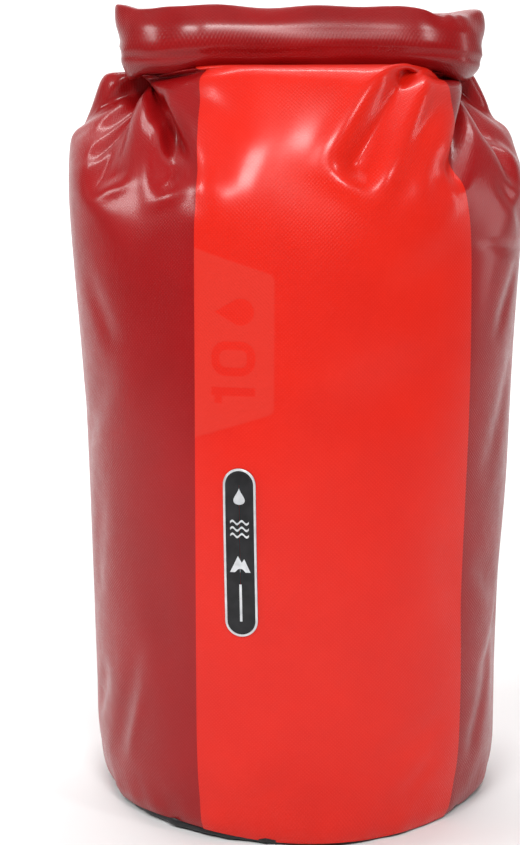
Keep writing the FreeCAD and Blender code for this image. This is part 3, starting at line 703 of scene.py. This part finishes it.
def roll_points(s, count=60):
    """Points and outward normals of the roll's skin for each s along it, its section starting on the outside.

    It is a flat upright oval with a sharp top fold. It stands taller at its bends, where the top fold leans out."""
    a = np.linspace(0, 2 * math.pi, count + 1)
    power = 2 / 2.6
    out = (np.sign(np.cos(a)) * np.abs(np.cos(a)) ** power)[None]
    up = (np.sign(np.sin(a)) * np.abs(np.sin(a)) ** power)[None]
    outside, inside_, top, bottom = (np.clip(v, 0, 1) for v in (out, -out, up, -up))
    run, turn = np.abs(s)[:, None], s[:, None]
    bend, ear = bump(run, 96, 30), bump(run, 99, 9)
    tip = smooth(run, 122, 150)
    half_height = 14.0 + 1.6 * bend - 0.6 * tip
    half_thick = 7.4 + 0.5 * bend - 0.9 * tip + 0.3 * np.sin(turn / 13 + 2)
    o = out * half_thick * (1 - 0.30 * smooth(up, 0.25, 1.0) - 0.12 * smooth(-up, 0.4, 1.0))
    h = up * half_height
    o = o - outside * 0.20 * (1 - smooth(run, 60, 105)) * np.clip(h + 1, 0, None)

    # The last turn ends low on the outside as a step, over a rounder lip.
    step = -5.2 + 1.2 * np.sin(turn / 26 + 0.3) + 0.4 * np.sin(turn / 9)
    o = o + outside * (0.5 - 1.1 * (1 - smooth(h, step - 0.9, step + 0.9)) + 0.9 * bump(h, step - 4.2, 2.6))
    # The flat outer face is a little hollow and dented where it was pressed by hand.
    hollow = 0.7 * bump(h, 3.5, 5.0) * (1 + 0.5 * np.sin(turn / 19 + 1))
    o = o - outside * (hollow + 0.8 * bump(turn, 54, 9) * bump(h, 4, 7))
    # Short pleats on the inside of the bends, and small ones over the top fold.
    pleats = np.sin(run * 2 * math.pi / 10.5 + 0.06 * h + 0.5 * np.sign(turn) * bend)
    o = o - inside_ * bend * 1.3 - inside_**1.5 * bend * 0.9 * pleats
    o = o + outside * bend * 0.5 * np.sin(run / 3.1 + h * 0.16) * bump(h, -8, 7)
    # The top fold leans out as an ear, more so on the right; the inner side stays over the stiffener.
    right_ear = bump(turn, 100, 12)
    o = o + top * (ear * 5.4 + right_ear * 2.4) * (1 - 0.7 * smooth(inside_, 0.1, 0.6)) + outside * right_ear * 1.2
    o = o + top**2 * bend * 1.2 + (bend - 0.2) * 1.5 + bottom * bend * 0.4
    h = h + top**3 * (0.5 * np.sin(turn / 6.7 + 1.4) + 0.6 * np.sin(turn / 15) + 1.7 * ear - 1.5 * bump(run, 82, 7))
    h = h - top**2 * (1.6 * bump(turn, 61, 5) + 1.0 * bump(turn, 71, 3) + 0.9 * bump(turn, -74, 6))
    ripple = 0.7 * np.sin(turn / 5.3 + 0.4) * (0.5 + bend) + 0.6 * np.sin(turn / 12)
    h = h - bottom**2 * (ripple + 2.2 * bump(run, 100, 26))

    line = roll_line(s)
    ahead = roll_line(s + 0.5) - roll_line(s - 0.5)
    ahead /= np.linalg.norm(ahead, axis=1)[:, None]
    outward = np.stack([ahead[:, 1], -ahead[:, 0]], -1)
    xy = line[:, None, :] + outward[:, None, :] * o[..., None]
    xy[..., 0] -= lean_right(run) * bend * (0.5 - 0.5 * out)
    z = ROLL_MIDDLE + roll_rise(run) - 0.014 * turn * (1 - tip) + h
    points = np.concatenate([xy, z[..., None]], -1)
    wrapped = np.concatenate([points[:, -2:-1], points, points[:, 1:2]], 1)
    normals = -grid_normals(wrapped)[:, 1:-1] * np.sign(s[-1] - s[0])
    return points, normals


def roll_half(side):
    """One half of the roll from the middle to its end, open there so that its turns show."""
    step = 1.3
    s = np.concatenate([[-2 * step, -step], np.linspace(0, ROLL_REACH, int(ROLL_REACH / step))]) * side
    points, normals = roll_points(s)
    s, points, normals = s[2:], points[2:], normals[2:]
    columns = points.shape[1]
    uv = np.stack(np.meshgrid(np.arange(columns) / (columns - 1) * 80.0, s), -1) * UV_SCALE
    word = "right" if side > 0 else "left"
    thing = skin(f"roll_fabric_{word}", points, normals, uv, ROLLED, ROLLED_FABRIC, ("last",), flip=side > 0)
    for piece in (thing, roll_turns(side, word)):
        blend_to_end(piece, [side * 36.0, ROLL_Y, 360.0], [side * 0.04, 0.016, 0.0])
    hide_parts(f"roll_{word}", "roll_centre")


def roll_turns(side, word):
    """The inner turns of doubled fabric that show at the roll's end."""
    deep = np.linspace(ROLL_REACH - 16, ROLL_REACH - 0.8, 5)
    turns = 2.4
    wind = np.linspace(0, 2 * math.pi * turns, 170)
    shrink = 1 - 0.115 * wind / (2 * math.pi) * 1.9
    power = 2 / 2.4
    out = np.sign(np.cos(wind)) * np.abs(np.cos(wind)) ** power * 4.9 * shrink
    up = np.sign(np.sin(wind)) * np.abs(np.sin(wind)) ** power * (11.4 * (0.35 + 0.65 * shrink))
    line = roll_line(deep * side)
    ahead = roll_line((deep + 0.5) * side) - roll_line((deep - 0.5) * side)
    ahead *= side / np.linalg.norm(ahead, axis=1)[:, None]
    outward = np.stack([ahead[:, 1], -ahead[:, 0]], -1) * side
    xy = line[:, None, :] + outward[:, None, :] * out[None, :, None]
    z = np.broadcast_to(ROLL_MIDDLE + up[None, :], (len(deep), len(wind)))
    points = np.concatenate([xy, z[..., None]], -1)
    length = np.concatenate([[0], np.cumsum(np.hypot(np.diff(out), np.diff(up)))])
    uv = np.stack(np.meshgrid(length, deep), -1) * UV_SCALE
    return skin(f"roll_turns_{word}", points, grid_normals(points), uv, ROLLED, DOUBLED)


for side in (1, -1):
    roll_half(side)

# ---------------------------------------------------------------- webbing tabs

LINE_Y = ROLL_Y + 2 * BEND  # the line of the tabs and the buckle, behind the bag
BAR_X, FOLD, TAPE = 23.0, 2.9, 1.5  # where the buckle's bars stand, the tape's fold round them and its thickness


def tape_path(side):
    """The tab seen from above: out along one face, round the buckle's bar, back along the other."""
    hidden = np.linspace(ROLL_REACH - 14, ROLL_REACH - TIP, 6)  # the part inside the roll
    far = [np.array(p) for p in roll_line(hidden, FOLD - 0.2)]
    outer = far + [np.array([x, LINE_Y + FOLD - 0.05]) for x in np.linspace(ROLL_HALF - 3, BAR_X, 12)]
    turn = np.linspace(0, math.pi, 15)[1:-1]
    fold = [np.array([BAR_X - FOLD * math.sin(t), LINE_Y + FOLD * math.cos(t)]) for t in turn]
    inner = [np.array([p[0], 2 * LINE_Y - p[1]]) for p in outer[len(far) :]][::-1]
    near = [np.array(p) for p in roll_line(hidden[::-1], -FOLD + 0.2)]
    return np.array(outer + fold + inner + near) * [side, 1]


def webbing(side, word):
    """A band of tape on edge, with rounded selvedges."""
    path = tape_path(side)
    ahead = np.gradient(path, axis=0)
    ahead /= np.linalg.norm(ahead, axis=1)[:, None] + 1e-9
    outward = np.stack([ahead[:, 1], -ahead[:, 0]], -1)
    half, thick = 9.9, TAPE / 2
    section = [(-thick * 0.45, -half), (thick * 0.45, -half), (thick, -half + 0.6)]
    section += [(thick, y) for y in np.linspace(-half + 2.5, half - 2.5, 7)] + [(thick, half - 0.6)]
    section += [(-x, -y) for x, y in section]
    section = np.array(section)
    xy = path[:, None, :] + outward[:, None, :] * section[None, :, :1]
    z = np.broadcast_to(ROLL_MIDDLE + section[None, :, 1], xy.shape[:2])
    points = np.concatenate([xy, z[..., None]], -1)
    run = np.concatenate([[0], np.cumsum(np.linalg.norm(np.diff(path, axis=0), axis=1))])
    uv = np.stack([np.broadcast_to(run[:, None], z.shape), z - ROLL_MIDDLE], -1) * UV_SCALE
    body = f"{word}_end"
    faces = grid_faces(len(path), len(section), wraps=True, flip=side < 0)
    tape = make(f"webbing_tab_{word}_tape", points, faces, uv, WEBBING, body)
    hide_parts(f"webbing_tab_{word}")
    stitches = [
        (side * x, LINE_Y + face * (FOLD + thick + 0.12), ROLL_MIDDLE + up)
        for face in (-1, 1)
        for x in (36.6, 38.5)
        for up in np.arange(-8.2, 8.3, 2.05)
    ]
    thread(f"tab_stitching_{word}_thread", stitches, body, f"tab_stitching_{word}")


def thread(name, stitches, body, node):
    """Upright stitches: short rounded lengths of thread that dip at both ends."""
    points, faces, uv = [], [], []
    ring, steps, length = 8, 7, 1.35
    for x, y, z in stitches:
        first = len(points)
        sign = 1 if y > LINE_Y else -1
        for k in range(steps):
            t = k / (steps - 1) * 2 - 1
            dip, wide = 0.30 * (1 - t * t) - 0.22, 0.28 * math.sqrt(max(0.05, 1 - abs(t) ** 3))
            for a in np.arange(ring) / ring * 2 * math.pi:
                points.append((x + wide * math.cos(a), y + sign * dip + wide * 0.8 * math.sin(a), z + t * length / 2))
                uv.append((a * UV_SCALE, t * UV_SCALE))
        for k in range(steps - 1):
            for i in range(ring):
                low, high, j = first + k * ring, first + (k + 1) * ring, (i + 1) % ring
                faces.append((low + i, low + j, high + j, high + i))
        faces.append(tuple(first + i for i in range(ring))[::-1])
        faces.append(tuple(first + (steps - 1) * ring + i for i in range(ring)))
    thing = make(name, points, faces, uv, THREAD, body)
    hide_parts(node)


for side, word in ((1, "right"), (-1, "left")):
    webbing(side, word)

# ---------------------------------------------------------------- badge


def on_fabric(outline, out):
    """Flat points (s, up) laid on the front panel, out millimetres above it."""
    outline = np.asarray(outline, float)
    return tube_points(outline[:, 0], outline[:, 1], np.broadcast_to(out, len(outline)) + PROUD)


def turned(points, middle, angle):
    """Flat points turned about a middle point."""
    a = math.radians(angle)
    x, y = np.asarray(points, float).T
    return np.stack([x * math.cos(a) - y * math.sin(a), x * math.sin(a) + y * math.cos(a)], -1) + middle


BADGE_MIDDLE, BADGE_HALF, BADGE_LONG, BADGE_TURN = (-38.0, 133.2), 7.4, 38.1, 0.8


def pill(inset, count):
    """A stadium outline, upright, inset from the badge's edge: two half circles and two straight sides."""
    radius, straight = BADGE_HALF - inset, BADGE_LONG - BADGE_HALF
    quarter = count // 4
    a = np.linspace(0, math.pi, quarter, endpoint=False)
    run = np.linspace(straight, -straight, quarter, endpoint=False)
    top = np.stack([radius * np.cos(a), radius * np.sin(a) + straight], -1)
    left = np.stack([np.full(quarter, -radius), run], -1)
    return np.concatenate([top, left, -top, -left])


def badge():
    """A black rounded badge with a raised silver edge and three plain pictures: a drop, waves and a hill."""
    # Each loop's distance in from the edge and height above the fabric; the loops next to the edge are the silver rim.
    loops = [(0.0, 0.0), (0.0, 0.45), (0.25, 0.66), (0.8, 0.66), (1.05, 0.5)]
    rim = len(loops) - 1
    loops += [(2.2, 0.52), (3.6, 0.55), (5.0, 0.57), (6.4, 0.58), (BADGE_HALF - 0.05, 0.58)]
    count = 96
    points = [on_fabric(turned(pill(inset, count), BADGE_MIDDLE, BADGE_TURN), out) for inset, out in loops]
    faces = grid_faces(len(loops), count, wraps=True)
    plate = make("badge_plate", np.concatenate(points), faces, None, BADGE)
    plate.data.materials.append(SILVER)
    for polygon in plate.data.polygons:
        outer, inner = min(polygon.vertices) // count, max(polygon.vertices) // count
        polygon.material_index = 1 if 1 <= outer and inner <= rim else 0
    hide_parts("badge")
    pictures = []
    a = np.linspace(0, 2 * math.pi, 28, endpoint=False)
    teardrop = np.stack([2.5 * np.cos(a) * (1 - 0.25 * np.sin(a)), 2.5 * np.sin(a)], -1)
    teardrop[:, 0] *= np.where(np.sin(a) > 0, 1 - np.sin(a) ** 1.3 * 0.98, 1)
    teardrop[:, 1] = np.where(np.sin(a) > 0, 5.0 * np.sin(a), 2.5 * np.sin(a))
    pictures.append(teardrop + [0, 24.5])
    for k in range(3):
        x = np.linspace(-4.2, 4.2, 24)
        y = 0.75 * np.sin(x * 1.5)
        band = np.concatenate([np.stack([x, y + 0.5], -1), np.stack([x, y - 0.5], -1)[::-1]])
        pictures.append(band + [0, 14.0 - k * 2.9])
    pictures.append(np.array([(4.6, -8.5), (1.9, -2.4), (0.8, -4.1), (-0.9, -1.1), (-4.6, -8.5)]))
    pictures.append(np.array([(-0.55, -14.0), (-0.55, -31.0), (0.55, -31.0), (0.55, -14.0)]))
    points, faces = [], []
    for outline in pictures:
        faces += [tuple(len(points) + i for i in face) for face in fill(outline)]
        points += list(on_fabric(turned(outline, BADGE_MIDDLE, BADGE_TURN), 0.66))
    art = make("badge_pictures", points, faces, None, SILVER, smooth_faces=False)


def fill(outline):
    """Triangles inside a flat outline, all facing up."""
    faces = []
    for face in tessellate_polygon([[Vector((x, y, 0)) for x, y in outline]]):
        (ax, ay), (bx, by), (cx, cy) = (outline[k] for k in face)
        faces.append(face if (bx - ax) * (cy - ay) > (by - ay) * (cx - ax) else face[::-1])
    return faces


badge()

# ---------------------------------------------------------------- carried-over parts

THIRDS = ("centre", "left", "right")
for names, material in (
    (["buckle_socket"], SOCKET),
    (["buckle_plug", "release_arm_upper", "release_arm_lower"], PLUG),
    ([f"mouth_stiffener_{third}" for third in THIRDS], STRIP),
    ([f"sealing_lip_{third}" for third in THIRDS], LIP),
):
    for name in names:
        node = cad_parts[name]
        for place in node.material_slots:
            place.material = material
        if not node.material_slots:
            node.data.materials.append(material)

# ---------------------------------------------------------------- floor, light, camera


def backdrop():
    """A pale floor that curves up behind into a wall."""
    back, curve, top = 1.6, 0.9, 3.2
    rise = [(back + curve * math.sin(a), curve - curve * math.cos(a)) for a in np.linspace(0.1, 1.57, 12)]
    profile = [(-3.0, 0.0), (back, 0.0), *rise, (back + curve, top)]
    points = [(x, y, z) for y, z in profile for x in (-4.0, 4.0)]
    mesh = bpy.data.meshes.new("backdrop")
    mesh.from_pydata(points, [], grid_faces(len(profile), 2))
    mesh.polygons.foreach_set("use_smooth", [True] * len(mesh.polygons))
    thing = bpy.data.objects.new("backdrop", mesh)
    scene.collection.objects.link(thing)
    mesh.materials.append(Nodes("backdrop_paper", (0.76, 0.76, 0.76), 0.9).material)


def softbox(name, place, aim, size, power):
    """A white rectangular lamp, in metres and watts."""
    lamp = bpy.data.lights.new(name, "AREA")
    lamp.shape, lamp.size, lamp.size_y = "RECTANGLE", size[0], size[1]
    lamp.energy = power
    thing = bpy.data.objects.new(name, lamp)
    scene.collection.objects.link(thing)
    thing.location = place
    thing.rotation_euler = (Vector(aim) - Vector(place)).to_track_quat("-Z", "Y").to_euler()


backdrop()
world = bpy.data.worlds.new("studio")
scene.world = world
world.use_nodes = True
surround = world.node_tree.nodes["Background"].inputs
surround["Color"].default_value, surround["Strength"].default_value = (1.0, 1.0, 1.0, 1), 0.14


def around_bag(azimuth, elevation, distance):
    """A place for a lamp, seen from the bag's shoulder; 0 is straight in front and positive is to the right."""
    a, e = math.radians(azimuth), math.radians(elevation)
    return (distance * math.sin(a) * math.cos(e), -distance * math.cos(a) * math.cos(e), 0.30 + distance * math.sin(e))


shoulder = (0, 0, 0.28)
softbox("key", around_bag(-28, 35, 1.75), shoulder, (0.48, 0.24), 14.5)
softbox("front_high", around_bag(3, 38, 1.7), shoulder, (0.40, 0.20), 13)
softbox("right_high", around_bag(42, 34, 1.7), shoulder, (0.18, 0.22), 4.5)
softbox("left_high", around_bag(-86, 24, 1.5), shoulder, (0.40, 0.28), 6.5)
softbox("right_wall", (1.5, 0.15, 0.5), (0, 0, 0.2), (0.25, 0.8), 2.5)
softbox("top", (0.1, 0.2, 1.6), (0, 0, 0.3), (0.9, 0.9), 3)
softbox("backdrop_light", (0, 1.0, 2.2), (0, 2.3, 0.6), (2.4, 0.6), 75)

AZIMUTH, PITCH, YAW, LENS = -8.0, 12.1, -1.09, 82.2  # degrees and millimetres
DISTANCE, EYE = 0.919, 0.377  # how far the camera stands from the bag's axis, and how high, in metres
camera = bpy.data.cameras.new("camera")
camera.sensor_fit, camera.sensor_width, camera.sensor_height, camera.lens = "AUTO", 36, 36, LENS
eye = bpy.data.objects.new("camera", camera)
scene.collection.objects.link(eye)
heading = math.radians(AZIMUTH)
eye.location = (DISTANCE * math.sin(heading), -DISTANCE * math.cos(heading), EYE)
look = heading - math.radians(YAW)
forward = Vector((-math.sin(look), math.cos(look), -math.tan(math.radians(PITCH))))
eye.rotation_euler = forward.to_track_quat("-Z", "Y").to_euler()
scene.camera = eye
scene.view_settings.view_transform = "Standard"
